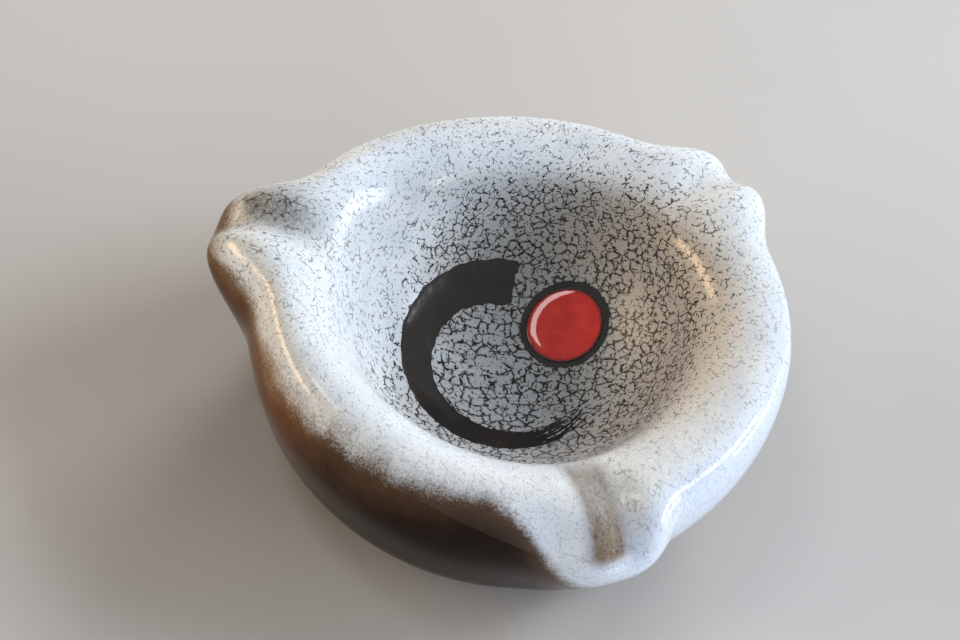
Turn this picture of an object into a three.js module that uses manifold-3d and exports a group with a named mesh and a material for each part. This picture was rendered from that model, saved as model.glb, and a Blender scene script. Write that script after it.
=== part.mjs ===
// Catchall dish: a heavy fired-clay bowl with a fat rolled rim and three spout-shaped rests,
// a dark glaze all over, a white crackle glaze on top of it, and in the well one dark brushed
// ring and one red drop with a dark outline.
// Millimetres, +Z up. The dish stands on its flat foot at z = 0 and the well opens upwards.
// Bearings are in degrees, counted from +X towards +Y.

import * as THREE from 'three';
import { NURBSCurve } from 'three/addons/curves/NURBSCurve.js';
import Module from 'manifold-3d';

const wasm = await Module();
wasm.setup();

// The section of the wall: control points of one smooth curve, from the foot out under the
// belly, up over the rolled rim and down to the middle of the well.
const FOOT_RADIUS = 35;
const FOOT_HEIGHT = 2;
const UNDERSIDE_RADIUS = 44;
const UNDERSIDE_HEIGHT = 2;
const HEEL_RADIUS = 55.8;
const HEEL_HEIGHT = 3.8;
const FLANK_RADIUS = 60.8;
const FLANK_HEIGHT = 18.7;
const BELLY_RADIUS = 65.3;
const BELLY_HEIGHT = 32.6;
const SHOULDER_RADIUS = 64.7;
const SHOULDER_HEIGHT = 42.5;
const BROW_RADIUS = 63.5;
const BROW_HEIGHT = 49.9;
const CROWN_RADIUS = 57.3;
const CROWN_HEIGHT = 54.3;
const MOUTH_RADIUS = 44.7;
const MOUTH_HEIGHT = 49.5;
const THROAT_RADIUS = 41.3;
const THROAT_HEIGHT = 37.6;
const BASIN_RADIUS = 33;
const BASIN_HEIGHT = 22.9;
const FLOOR_RADIUS = 17;
const FLOOR_HEIGHT = 14.6;
const CENTRE_HEIGHT = 14.1;

// The plan is a little oval and a little three-sided, and the well sits a little off centre.
const OVAL_SWELL = 3.6;
const OVAL_BEARING = 37;
const THREE_SIDE_SWELL = 1.2;
const THREE_SIDE_BEARING = 58;
const WELL_SHIFT_X = -2.8;
const WELL_SHIFT_Y = 0.6;

// One side of the well falls more gently than the rest: the bearing it lies at, half the angle
// it takes, and how far the section's control points move out and up in the middle of it.
const GENTLE_BEARING = 176;
const GENTLE_HALF_ANGLE = 42;
const GENTLE_MOUTH = { out: 2.3, up: -2 };
const GENTLE_THROAT = { out: -1.8, up: 0.4 };
const GENTLE_BASIN = { out: -2, up: 1.6 };
const NO_MOVE = { out: 0, up: 0 };

// The three rests: the bearing they point to, half the angle they take, how far they reach
// beyond the rim and how far they lift it, with one groove down the middle of each.
const LEFT_REST = { bearing: 186.2, halfAngle: 12, reach: 12.7, lift: 0.4 };
const BACK_REST = { bearing: 61.5, halfAngle: 13, reach: 9.7, lift: 1.4 };
const FRONT_REST = { bearing: 307.6, halfAngle: 12, reach: 6.7, lift: 0.4 };
const RESTS = [BACK_REST, LEFT_REST, FRONT_REST];
const REST_SQUARENESS = 3.2;
const GROOVE_HALF_WIDTH = 5;
const GROOVE_DEPTH = 3.4;

// The two coats of glaze, and the gaps that keep fused layers and cut edges apart as solids.
const DARK_THICKNESS = 0.6;
const WHITE_THICKNESS = 0.8;
const WHITE_EDGE_THICKNESS = 0.3;
const COAT_GAP = 0.05;
const CUT_GAP = 0.3;

// The bare foot stands a little inside the edge of the glaze.
const FOOT_INSET = 0.5;
const FOOT_CHAMFER = 0.6;

// The brushed ring is an open circle laid on the floor of the well.
const RING_X = -2;
const RING_Y = 4;
const RING_RADIUS = 22.5;
const RING_WIDTH = 10;
const RING_TIP_WIDTH = 4.5;
const RING_SINK = 0.1;
const RING_START = 102;
const RING_SWEEP = 272;

// The red drop fills the ring's opening.
const DROP_X = 9;
const DROP_Y = 21;
const DROP_RADIUS = 9.5;
const DROP_HEIGHT = 1.5;
const OUTLINE_WIDTH = 1.4;

// Places along the section, from 0 at the foot to 1 in the middle of the well: where the white
// coat ends on the outside, how far that edge rises round its bearing, and where the grooves lie.
const WHITE_EDGE = 0.26;
const WHITE_EDGE_RISE = 0.22;
const WHITE_EDGE_BEARING = 238;
const WHITE_EDGE_SPREAD = 58;
const WHITE_EDGE_TAPER = 0.06;
const GROOVE_MIDDLE = 0.53;
const GROOVE_HALF_RUN = 0.14;
const WELL_START = 0.72;

// Fineness of the faces, and how often the search along the section halves its range.
const REST_STEPS = 13;
const PLAIN_STEPS = 11;
const REST_SPREAD = 1.5;
const OUTER_ROWS = 8;
const INNER_ROWS = 17;
const RING_STEPS = 40;
const RING_ROWS = 2;
const DROP_STEPS = 24;
const DROP_ROWS = 5;
const HALVINGS = 24;

// Powers that shape the drop: how flat its top is, and how its rows crowd towards its rim.
const DOME_POWER = 3;
const CROWDING_POWER = 1.5;

// How far the cutting shapes reach above and below the skin, and how deep a glaze mark is drawn
// before its underside is cut to the face of the coat beneath.
const CUT_REACH = 4;
const DIG_DEPTH = 1.8;

const DEGREE = Math.PI / 180;
const SLOPE_STEP = 1e-3;
const LEAST_GROOVE = 1e-3;

// Shares say how far each control point follows the swell of the plan, the reach and the lift
// of a rest, and the shift of the well: 0 is not at all and 1 is fully. A gentle move is given
// where the well's gentle side has one.
const SECTION = [
  { radius: FOOT_RADIUS, height: FOOT_HEIGHT, swell: 0, reach: 0, lift: 0, shift: 0 },
  { radius: UNDERSIDE_RADIUS, height: UNDERSIDE_HEIGHT, swell: 0.5, reach: 0, lift: 0, shift: 0 },
  { radius: HEEL_RADIUS, height: HEEL_HEIGHT, swell: 0.85, reach: 0.05, lift: 0, shift: 0 },
  { radius: FLANK_RADIUS, height: FLANK_HEIGHT, swell: 0.93, reach: 0.32, lift: 0.1, shift: 0 },
  { radius: BELLY_RADIUS, height: BELLY_HEIGHT, swell: 1, reach: 0.8, lift: 0.4, shift: 0 },
  { radius: SHOULDER_RADIUS, height: SHOULDER_HEIGHT, swell: 1, reach: 1.15, lift: 0.9, shift: 0 },
  { radius: BROW_RADIUS, height: BROW_HEIGHT, swell: 0.97, reach: 0.85, lift: 0.8, shift: 0.2 },
  { radius: CROWN_RADIUS, height: CROWN_HEIGHT, swell: 0.88, reach: 0.35, lift: 0.3, shift: 0.6 },
  {
    radius: MOUTH_RADIUS, height: MOUTH_HEIGHT, swell: 0.68, reach: 0, lift: 0, shift: 1,
    gentle: GENTLE_MOUTH,
  },
  {
    radius: THROAT_RADIUS, height: THROAT_HEIGHT, swell: 0.63, reach: 0, lift: 0, shift: 1,
    gentle: GENTLE_THROAT,
  },
  {
    radius: BASIN_RADIUS, height: BASIN_HEIGHT, swell: 0.5, reach: 0, lift: 0, shift: 1,
    gentle: GENTLE_BASIN,
  },
  { radius: FLOOR_RADIUS, height: FLOOR_HEIGHT, swell: 0.25, reach: 0, lift: 0, shift: 1 },
  { radius: 0, height: CENTRE_HEIGHT, swell: 0, reach: 0, lift: 0, shift: 1 },
];
const CURVE_DEGREE = 3;

// The signed angle from one turn to another, the short way round, in radians.
function angleBetween(turn, bearing) {
  const full = 2 * Math.PI;
  const difference = turn - bearing * DEGREE;
  return difference - full * Math.round(difference / full);
}

// How much of a rest there is at a turn: 1 in its middle, falling steeply at its sides.
function restShare(rest, turn) {
  const across = Math.abs(angleBetween(turn, rest.bearing)) / (rest.halfAngle * DEGREE);
  return Math.exp(-(across ** REST_SQUARENESS));
}

// How gentle the well is at a turn: 1 in the middle of its gentle side, falling to 0 beside it.
function gentleShare(turn) {
  const across = angleBetween(turn, GENTLE_BEARING) / (GENTLE_HALF_ANGLE * DEGREE);
  return Math.exp(-(across ** 4));
}

// The knots of a clamped curve through its first and last control points.
function clampedKnots(count) {
  const spans = count - CURVE_DEGREE;
  const inner = Array.from({ length: spans + 1 }, (_, i) => i / spans);
  const ends = new Array(CURVE_DEGREE);
  return [...ends.fill(0), ...inner, ...ends.slice().fill(1)];
}

// The section at one turn round the dish, as a curve in space.
function sectionCurve(turn) {
  const oval = OVAL_SWELL * Math.cos(2 * angleBetween(turn, OVAL_BEARING));
  const threeSided = THREE_SIDE_SWELL * Math.cos(3 * angleBetween(turn, THREE_SIDE_BEARING));
  const reach = RESTS.reduce((sum, rest) => sum + rest.reach * restShare(rest, turn), 0);
  const lift = RESTS.reduce((sum, rest) => sum + rest.lift * restShare(rest, turn), 0);
  const gentle = gentleShare(turn);
  const points = SECTION.map((point) => {
    const { out, up } = point.gentle ?? NO_MOVE;
    const swollen = point.radius + (oval + threeSided) * point.swell;
    const radius = swollen + reach * point.reach + gentle * out;
    const x = radius * Math.cos(turn) + WELL_SHIFT_X * point.shift;
    const y = radius * Math.sin(turn) + WELL_SHIFT_Y * point.shift;
    return new THREE.Vector4(x, y, point.height + lift * point.lift + gentle * up, 1);
  });
  return new NURBSCurve(CURVE_DEGREE, clampedKnots(points.length), points);
}

const curves = new Map();

// The surface before the grooves are pressed in. Curves are kept, because each is asked often.
function plainSkin(turn, along) {
  if (!curves.has(turn)) curves.set(turn, sectionCurve(turn));
  return curves.get(turn).getPoint(along, new THREE.Vector3());
}

// The direction square to a surface: across the turn, then along the section.
function normalOf(surface, turn, along) {
  const low = Math.max(along - SLOPE_STEP, 0);
  const high = Math.min(along + SLOPE_STEP, 1);
  const middle = (low + high) / 2;
  const across = surface(turn + SLOPE_STEP, middle).sub(surface(turn - SLOPE_STEP, middle));
  const up = surface(turn, high).sub(surface(turn, low));
  return across.cross(up).normalize();
}

// How deep a rest's groove is at a place: a soft trough across the rest, fading at its ends.
function grooveDepth(turn, along, radius) {
  const run = Math.exp(-(((along - GROOVE_MIDDLE) / GROOVE_HALF_RUN) ** 4));
  const troughs = RESTS.map((rest) => {
    const across = (radius * angleBetween(turn, rest.bearing)) / GROOVE_HALF_WIDTH;
    return Math.exp(-(across ** 2));
  });
  return GROOVE_DEPTH * run * Math.max(...troughs);
}

// The finished outer face of the dish, with its grooves.
function skin(turn, along) {
  const point = plainSkin(turn, along);
  const depth = grooveDepth(turn, along, Math.hypot(point.x, point.y));
  if (depth < LEAST_GROOVE) return point;
  return point.addScaledVector(normalOf(plainSkin, turn, along), -depth);
}

// Where the white coat ends on the outside: low all round, and high at the front left.
function whiteEdge(turn) {
  const across = angleBetween(turn, WHITE_EDGE_BEARING) / (WHITE_EDGE_SPREAD * DEGREE);
  return WHITE_EDGE + WHITE_EDGE_RISE * Math.exp(-(across ** 4));
}

// The white coat's thickness, which grows from its thin edge to its full value.
function whiteThickness(turn, along) {
  const edge = whiteEdge(turn);
  const share = THREE.MathUtils.smoothstep(along, edge, edge + WHITE_EDGE_TAPER);
  return THREE.MathUtils.lerp(WHITE_EDGE_THICKNESS, WHITE_THICKNESS, share);
}

// Turns round the dish, closer together at the rests than between them.
function turnSteps() {
  const turns = [];
  RESTS.forEach((rest, i) => {
    const next = RESTS[(i + 1) % RESTS.length];
    const lap = i === RESTS.length - 1 ? 360 : 0;
    const start = rest.bearing - REST_SPREAD * rest.halfAngle;
    const end = rest.bearing + REST_SPREAD * rest.halfAngle;
    const nextStart = next.bearing - REST_SPREAD * next.halfAngle + lap;
    for (let k = 0; k < REST_STEPS; k += 1) {
      turns.push(THREE.MathUtils.lerp(start, end, k / REST_STEPS) * DEGREE);
    }
    for (let k = 0; k < PLAIN_STEPS; k += 1) {
      turns.push(THREE.MathUtils.lerp(end, nextStart, k / PLAIN_STEPS) * DEGREE);
    }
  });
  return turns;
}

// One place of the skin with its outward direction, for the coats to be measured from.
function placeAt(turn, along) {
  const point = skin(turn, along);
  const normal = along < 1 ? normalOf(skin, turn, along) : new THREE.Vector3(0, 0, 1);
  return { turn, along, point, normal };
}

// The skin as rings of places. The white coat's edge is always row OUTER_ROWS.
function skinRings(turns) {
  const rings = [];
  for (let row = 0; row <= OUTER_ROWS + INNER_ROWS; row += 1) {
    rings.push(turns.map((turn) => {
      const edge = whiteEdge(turn);
      const outside = (edge * row) / OUTER_ROWS;
      const inside = edge + ((1 - edge) * (row - OUTER_ROWS)) / INNER_ROWS;
      return placeAt(turn, row < OUTER_ROWS ? outside : inside);
    }));
  }
  return rings;
}

// A place moved along its own direction: outwards if the distance is above 0.
function offset(place, distance) {
  return place.point.clone().addScaledVector(place.normal, distance);
}

// A closed solid from rings of points. Each ring has as many points as the first, and the
// first and last rings shrink to one point where they are given as one. Faces of the first
// mirroredRings are split along their other diagonal, so that they match the faces above them.
function solidOfRings(rings, mirroredRings = 0) {
  const size = Math.max(...rings.map((ring) => ring.length));
  const starts = [];
  const positions = [];
  for (const ring of rings) {
    starts.push(positions.length / 3);
    ring.forEach((point) => positions.push(point.x, point.y, point.z));
  }
  const triangles = [];
  const corner = (ring, i) => starts[ring] + (i % rings[ring].length);
  const face = (a, b, c) => {
    if (a !== b && b !== c && c !== a) triangles.push(a, b, c);
  };
  for (let ring = 0; ring < rings.length - 1; ring += 1) {
    for (let i = 0; i < size; i += 1) {
      const a = corner(ring, i);
      const b = corner(ring, i + 1);
      const c = corner(ring + 1, i + 1);
      const d = corner(ring + 1, i);
      if (ring + 1 < mirroredRings) {
        face(a, b, d);
        face(b, c, d);
      } else {
        face(a, b, c);
        face(a, c, d);
      }
    }
  }
  return solidOf(positions, triangles);
}

// A closed solid from its corner positions and its triangles.
function solidOf(positions, triangles) {
  return new wasm.Manifold(new wasm.Mesh({
    numProp: 3,
    vertProperties: new Float32Array(positions),
    triVerts: new Uint32Array(triangles),
  }));
}

// Everything beneath a face that lies at a depth under the skin, down to the foot.
function bodyUnder(rings, depthAt) {
  const turns = rings[0].map((place) => place.turn);
  const faces = rings.map((ring) => ring.map((place) => offset(place, -depthAt(place))));
  const footTop = Math.min(...faces[0].map((point) => point.z));
  const footRing = (radius, height) => turns.map((turn) => (
    new THREE.Vector3(radius * Math.cos(turn), radius * Math.sin(turn), height)));
  const sideRadius = FOOT_RADIUS - FOOT_INSET;
  const face = faces.slice(0, -1);
  const middle = [faces[faces.length - 1][0]];
  return solidOfRings([
    [new THREE.Vector3(0, 0, 0)],
    footRing(sideRadius - FOOT_CHAMFER, 0),
    footRing(sideRadius, FOOT_CHAMFER),
    footRing(sideRadius, footTop),
    ...face,
    middle,
  ]);
}

// A coat between two depths under the skin, from one row up and over to the well's middle.
function coatBetween(rings, firstRow, topDepth, underDepth) {
  const covered = rings.slice(firstRow);
  const face = (depthAt) => covered.map((ring, i) => {
    const points = ring.map((place) => offset(place, -depthAt(place)));
    return i === covered.length - 1 ? [points[0]] : points;
  });
  return solidOfRings([...face(underDepth).reverse(), ...face(topDepth)], covered.length);
}

// The place of the well's skin under a point of the plan, found along the section by halving.
function wellPlace(x, y) {
  const turn = Math.atan2(y - WELL_SHIFT_Y, x - WELL_SHIFT_X);
  const wanted = Math.hypot(x - WELL_SHIFT_X, y - WELL_SHIFT_Y);
  let low = WELL_START;
  let high = 1;
  for (let k = 0; k < HALVINGS; k += 1) {
    const middle = (low + high) / 2;
    const point = plainSkin(turn, middle);
    const radius = Math.hypot(point.x - WELL_SHIFT_X, point.y - WELL_SHIFT_Y);
    if (radius > wanted) low = middle;
    else high = middle;
  }
  return placeAt(turn, (low + high) / 2);
}

// Half the brush's width along the ring: widest where it starts, thinning to its tip.
function brushHalfWidth(share) {
  return THREE.MathUtils.lerp(RING_WIDTH, RING_TIP_WIDTH, share ** 2) / 2;
}

// The ring as a closed strip that follows the well, grown by a margin all round its plan.
function ringBody(margin, top, dig) {
  const extra = margin / RING_RADIUS / DEGREE;
  const upper = [];
  const lower = [];
  for (let row = 0; row <= RING_ROWS; row += 1) {
    const side = (2 * row) / RING_ROWS - 1;
    const places = [];
    for (let step = 0; step <= RING_STEPS; step += 1) {
      const share = step / RING_STEPS;
      const bearing = RING_START - extra + (RING_SWEEP + 2 * extra) * share;
      const radius = RING_RADIUS - side * (brushHalfWidth(share) + margin);
      const x = RING_X + radius * Math.cos(bearing * DEGREE);
      const y = RING_Y + radius * Math.sin(bearing * DEGREE);
      places.push(wellPlace(x, y));
    }
    upper.push(places.map((place) => offset(place, top)));
    lower.push(places.map((place) => offset(place, -dig)));
  }
  return stripBetween(upper, lower);
}

// A closed strip between an upper and a lower sheet of points.
function stripBetween(upper, lower) {
  const rows = upper.length;
  const columns = upper[0].length;
  const points = [...upper.flat(), ...lower.flat()];
  const positions = points.flatMap((point) => [point.x, point.y, point.z]);
  const top = (row, column) => row * columns + column;
  const under = (row, column) => rows * columns + row * columns + column;
  const triangles = [];
  const quad = (a, b, c, d) => triangles.push(a, b, c, a, c, d);
  for (let row = 0; row < rows - 1; row += 1) {
    for (let column = 0; column < columns - 1; column += 1) {
      const next = column + 1;
      quad(top(row, column), top(row, next), top(row + 1, next), top(row + 1, column));
      quad(under(row, column), under(row + 1, column), under(row + 1, next), under(row, next));
    }
    const last = columns - 1;
    quad(top(row, 0), top(row + 1, 0), under(row + 1, 0), under(row, 0));
    quad(top(row + 1, last), top(row, last), under(row, last), under(row + 1, last));
  }
  for (let column = 0; column < columns - 1; column += 1) {
    const next = column + 1;
    const last = rows - 1;
    quad(top(0, next), top(0, column), under(0, column), under(0, next));
    quad(top(last, column), top(last, next), under(last, next), under(last, column));
  }
  return solidOf(positions, triangles);
}

// A round patch on the well around the drop's middle, domed by a height above its rim.
function patchBody(radius, rim, dome, dig) {
  const ringAt = (share, heightAt) => {
    const points = [];
    for (let step = 0; step < DROP_STEPS; step += 1) {
      const turn = (2 * Math.PI * step) / DROP_STEPS;
      const x = DROP_X + radius * share * Math.cos(turn);
      const y = DROP_Y + radius * share * Math.sin(turn);
      points.push(offset(wellPlace(x, y), heightAt(share)));
    }
    return share > 0 ? points : [points[0]];
  };
  const shares = Array.from({ length: DROP_ROWS + 1 }, (_, i) => 1 - (i / DROP_ROWS) ** CROWDING_POWER);
  const domeAt = (share) => rim + dome * Math.sqrt(1 - share ** DOME_POWER);
  const digAt = () => -dig;
  return solidOfRings([
    ...shares.map((share) => ringAt(share, digAt)).reverse(),
    ...shares.map((share) => ringAt(share, domeAt)),
  ]);
}

const rings = skinRings(turnSteps());
const isCovered = (place) => place.along >= whiteEdge(place.turn) - SLOPE_STEP;
const whiteUnderside = (place) => whiteThickness(place.turn, place.along);
const darkTop = (place) => (isCovered(place) ? whiteUnderside(place) + COAT_GAP : 0);
const darkUnderside = (place) => darkTop(place) + DARK_THICKNESS;
const clayTop = (place) => darkUnderside(place) + COAT_GAP;
const underWhite = (place) => (isCovered(place) ? whiteUnderside(place) : 0);
const none = () => 0;

const clay = bodyUnder(rings, clayTop);
const beneath = bodyUnder(rings, underWhite);
const darkCoat = coatBetween(rings, 0, darkTop, darkUnderside);

const outlineInner = DROP_RADIUS + CUT_GAP;
const outlineOuter = outlineInner + OUTLINE_WIDTH;
const ringWindow = ringBody(CUT_GAP, CUT_REACH, CUT_REACH);
const dropWindow = patchBody(outlineOuter + CUT_GAP, CUT_REACH, 0, CUT_REACH);
const whiteCoat = coatBetween(rings, OUTER_ROWS, none, whiteUnderside)
  .subtract(ringWindow)
  .subtract(dropWindow);
const ring = ringBody(0, -RING_SINK, DIG_DEPTH).subtract(beneath);
const outline = patchBody(outlineOuter, 0, 0, DIG_DEPTH)
  .subtract(patchBody(outlineInner, CUT_REACH, 0, CUT_REACH))
  .subtract(beneath);
const drop = patchBody(DROP_RADIUS, 0, DROP_HEIGHT, DIG_DEPTH).subtract(beneath);

// A named mesh from a solid and its material.
function meshOf(name, solid, material) {
  const { numProp, vertProperties, triVerts } = solid.getMesh();
  const geometry = new THREE.BufferGeometry();
  const stride = new THREE.InterleavedBuffer(vertProperties, numProp);
  geometry.setAttribute('position', new THREE.InterleavedBufferAttribute(stride, 3, 0));
  geometry.setIndex(new THREE.BufferAttribute(triVerts, 1));
  geometry.computeVertexNormals();
  const mesh = new THREE.Mesh(geometry, material);
  mesh.name = name;
  return mesh;
}

const bareClay = new THREE.MeshStandardMaterial({ color: 0xb08a66, roughness: 0.85 });
const darkGlaze = new THREE.MeshStandardMaterial({ color: 0x2c1c12, roughness: 0.2 });
const whiteGlaze = new THREE.MeshStandardMaterial({ color: 0xd9dfe6, roughness: 0.25 });
const blackGlaze = new THREE.MeshStandardMaterial({ color: 0x1c1815, roughness: 0.15 });
const redGlaze = new THREE.MeshStandardMaterial({ color: 0xc8160c, roughness: 0.08 });

const dish = new THREE.Group();
dish.add(
  meshOf('clay_body', clay, bareClay),
  meshOf('base_glaze', darkCoat, darkGlaze),
  meshOf('white_glaze', whiteCoat, whiteGlaze),
  meshOf('brushed_ring', ring, blackGlaze),
  meshOf('drop_outline', outline, blackGlaze),
  meshOf('red_drop', drop, redGlaze),
);

export default dish;
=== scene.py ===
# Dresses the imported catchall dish: fine glaze coats, a brushed ring, a red drop and a bare foot,
# all drawn from the same formula as the solids, with their materials, a floor, lights and a camera.

import math

import bpy
import numpy as np
from mathutils import Matrix, Vector


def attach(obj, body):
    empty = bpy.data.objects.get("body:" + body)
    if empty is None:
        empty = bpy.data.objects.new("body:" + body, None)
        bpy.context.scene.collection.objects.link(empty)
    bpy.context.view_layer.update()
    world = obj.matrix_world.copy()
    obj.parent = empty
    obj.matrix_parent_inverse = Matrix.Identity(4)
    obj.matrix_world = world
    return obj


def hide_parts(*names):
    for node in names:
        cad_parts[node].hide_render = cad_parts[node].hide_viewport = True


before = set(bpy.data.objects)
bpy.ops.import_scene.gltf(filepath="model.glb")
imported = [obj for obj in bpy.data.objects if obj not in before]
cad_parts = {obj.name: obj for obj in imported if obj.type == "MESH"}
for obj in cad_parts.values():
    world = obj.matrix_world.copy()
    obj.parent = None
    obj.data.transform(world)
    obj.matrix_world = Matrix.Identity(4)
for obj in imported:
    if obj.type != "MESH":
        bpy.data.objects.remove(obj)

bl_info = {
    "name": "Catchall dish",
    "version": (1, 0, 0),
    "blender": (4, 5, 0),
    "location": "3D View > Sidebar > Dish",
    "description": "Builds the glazed look of a ceramic catchall dish around its packed solids",
    "category": "Object",
}

# Lengths in the formula are in millimetres, and meshes are in metres. Faces that meet at a
# larger angle than this are shaded apart.
MM = 0.001
SHARP_ANGLE = math.radians(60)

# The section of the wall, from the foot up over the rim to the middle of the well. Each row is a
# control point: radius, height, its shares of the plan's swell, of a rest's reach and lift, and
# of the well's shift, and how far it moves outwards and upwards on the well's gentler side.
SECTION = np.array([
    (35.0, 2.0, 0.0, 0.0, 0.0, 0.0, 0.0, 0.0),
    (44.0, 2.0, 0.5, 0.0, 0.0, 0.0, 0.0, 0.0),
    (55.8, 3.8, 0.85, 0.05, 0.0, 0.0, 0.0, 0.0),
    (60.8, 18.7, 0.93, 0.32, 0.1, 0.0, 0.0, 0.0),
    (65.3, 32.6, 1.0, 0.8, 0.4, 0.0, 0.0, 0.0),
    (64.7, 42.5, 1.0, 1.15, 0.9, 0.0, 0.0, 0.0),
    (63.5, 49.9, 0.97, 0.85, 0.8, 0.2, 0.0, 0.0),
    (57.3, 54.3, 0.88, 0.35, 0.3, 0.6, 0.0, 0.0),
    (44.7, 49.5, 0.68, 0.0, 0.0, 1.0, 2.3, -2.0),
    (41.3, 37.6, 0.63, 0.0, 0.0, 1.0, -1.8, 0.4),
    (33.0, 22.9, 0.5, 0.0, 0.0, 1.0, -2.0, 1.6),
    (17.0, 14.6, 0.25, 0.0, 0.0, 1.0, 0.0, 0.0),
    (0.0, 14.1, 0.0, 0.0, 0.0, 1.0, 0.0, 0.0),
])
CURVE_DEGREE = 3
SLOPE_STEP = 1e-3
LAST_ALONG = 0.9995

# Swells of the plan: amount and bearing in degrees from +X towards +Y.
OVAL_SWELL, OVAL_BEARING = 3.6, 37.0
THREE_SIDE_SWELL, THREE_SIDE_BEARING = 1.2, 58.0
WELL_SHIFT_X, WELL_SHIFT_Y = -2.8, 0.6

# The gentler side of the well: its bearing and half angle.
GENTLE_BEARING, GENTLE_HALF_ANGLE = 176.0, 42.0

# Each rest: bearing, half angle, reach and lift.
BACK_REST = (61.5, 13.0, 9.7, 1.4)
LEFT_REST = (186.2, 12.0, 12.7, 0.4)
FRONT_REST = (307.6, 12.0, 6.7, 0.4)
RESTS = (BACK_REST, LEFT_REST, FRONT_REST)
REST_SQUARENESS = 3.2
GROOVE_HALF_WIDTH = 5.0
GROOVE_DEPTH = 3.4
GROOVE_MIDDLE = 0.53
GROOVE_HALF_RUN = 0.14

# The coats, as depths under the skin.
DARK_THICKNESS = 0.6
WHITE_THICKNESS = 0.8
FEATHER_THICKNESS = 0.05
COAT_GAP = 0.03
WHITE_EDGE, WHITE_EDGE_RISE = 0.26, 0.22
WHITE_EDGE_BEARING, WHITE_EDGE_SPREAD = 238.0, 58.0
WHITE_EDGE_TAPER = 0.08
SKIN_INSET = 0.12
WAVE_DEPTH = 0.16
CALM_RUN = (1.0, 0.93)

# The waves of hand work: how fast each turns with the bearing and along the section, and its phase.
HAND_WAVES = ((3, 9, 0.0), (7, -21, 1.3), (2, 37, 4.0))

# Each coat's steps round, and the rows of its face and of its underside.
DARK_MESH = (400, 150, 50)
WHITE_MESH = (480, 150, 40)

# The well and its flat plan.
WELL_START, WELL_HALVINGS = 0.7, 24
PLAN_SHAPE, PLAN_SAMPLES = 0.6, 2000

# The foot and its turning marks: depth, waves per 2 pi millimetres, and margin at the edge.
CLAY_STEPS, CLAY_ROWS = 300, 90
FOOT_RADIUS, FOOT_MIDDLE, FOOT_CHAMFER = 34.5, 0.5, 0.6
FOOT_BEVEL, FOOT_WAIST, FOOT_TOP = 0.18, 1.4, 2.0
TURNING_DEPTH, TURNING_RATE, TURNING_MARGIN = 0.10, 2.6, 3.0

# The painted marks lie this far above the white glaze, with their undersides just clear of it.
MARK_LIFT, MARK_CLEARANCE = 0.02, 0.008

# The ring: middle, bearings, mesh, how full it is, how soon its ends are rounded, and the waves
# of its edge and of its ends (amount, rate and phase).
RING_X, RING_Y = -2.0, 4.0
RING_START, RING_SWEEP = 102.0, 272.0
RING_ROWS, RING_COLUMNS = 420, 25
RING_FILL, RING_ROUNDING = 0.93, 0.01
RING_WOBBLE = ((0.03, 23, 1), (0.02, 67, 0), (0.02, 141, 2))
RING_FRINGE = ((0.8, 9, 1), (0.5, 23, 0))

# How dry the brush is: all along, then more at the tip, on the inner side and at the start, each
# with the run over which it grows.
DRY_BASE = 0.10
DRY_TIP, DRY_TIP_RUN = 0.55, (0.55, 1.0)
DRY_SIDE, DRY_SIDE_RUN = 0.18, (0.55, 1.0)
DRY_START, DRY_START_RUN = 0.25, (0.03, 0.0)

# The drop: middle, mesh, how its rows crowd at the rim, dome and clearance. The outline: gap to
# the drop, rows, height and rise.
DROP_X, DROP_Y = 9.0, 21.0
DROP_STEPS, DROP_ROWS, DROP_CROWDING = 160, 40, 1.8
DOME_POWER, DROP_CLEARANCE = 2.4, 0.01
OUTLINE_START, OUTLINE_ROWS = 0.05, 10
OUTLINE_LIFT, OUTLINE_RISE = 0.03, 0.05

# Tables round the dish are averaged over this many degrees on each side.
TABLE_BLUR, TABLE_SAMPLES = 4, 7

# Where white fades to brown on the outside: bearings, and places along the section.
FADE_BEARINGS = (
    0, 30, 60, 90, 120, 150, 168, 180, 190, 200, 208, 218, 231, 240, 248, 257, 265, 273, 279, 284,
    290, 296, 303, 335,
)
FADE_PLACES = (
    0.25, 0.26, 0.30, 0.41, 0.455, 0.465, 0.46, 0.450, 0.443, 0.437, 0.431, 0.440, 0.457, 0.474,
    0.49, 0.509, 0.53, 0.556, 0.55, 0.505, 0.40, 0.285, 0.24, 0.24,
)
FADE_WIDTH_BEARINGS = (0, 150, 170, 200, 222, 245, 262, 285, 310)
FADE_WIDTHS = (0.09, 0.08, 0.06, 0.065, 0.10, 0.10, 0.07, 0.045, 0.07)
FADE_LIMITS = (-4, 3)

# How much of the fading takes its lit, golden copy, from 0 where it takes its painted shaded copy,
# a dull dark brown.
LIT_SIDE_BEARINGS = (0, 60, 150, 175, 188, 205, 215, 228, 240, 300, 340)
LIT_SIDE = (0.3, 0.6, 1.0, 0.8, 0.5, 0.5, 0.8, 0.6, 0.1, 0.1, 0.3)

# The warm tint on the well's right shoulder and on the wall below it, partly a warmer glaze and
# partly painted warm light and highlight, and in the back groove, and the cool tint on the rim's
# outer side, partly a bluer glaze and partly painted shade: strength, bearing in degrees, spread in
# radians, and the run.
SHOULDER_GLOW = (0.5, 22.0, 0.9)
SHOULDER_PLACE, SHOULDER_RUN = 0.70, 0.05
WALL_GLOW = (0.4, 35.0, 0.9)
WALL_RUN = (0.70, 0.76, 0.84, 0.92)
GROOVE_CAST = 0.2
# Painted shade on the rim's outer right side, partly a bluer glaze.
OUTER_SHADE = (0.95, 345.0, 1.0)
OUTER_SHADE_FADE = (0.60, 0.52)

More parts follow.
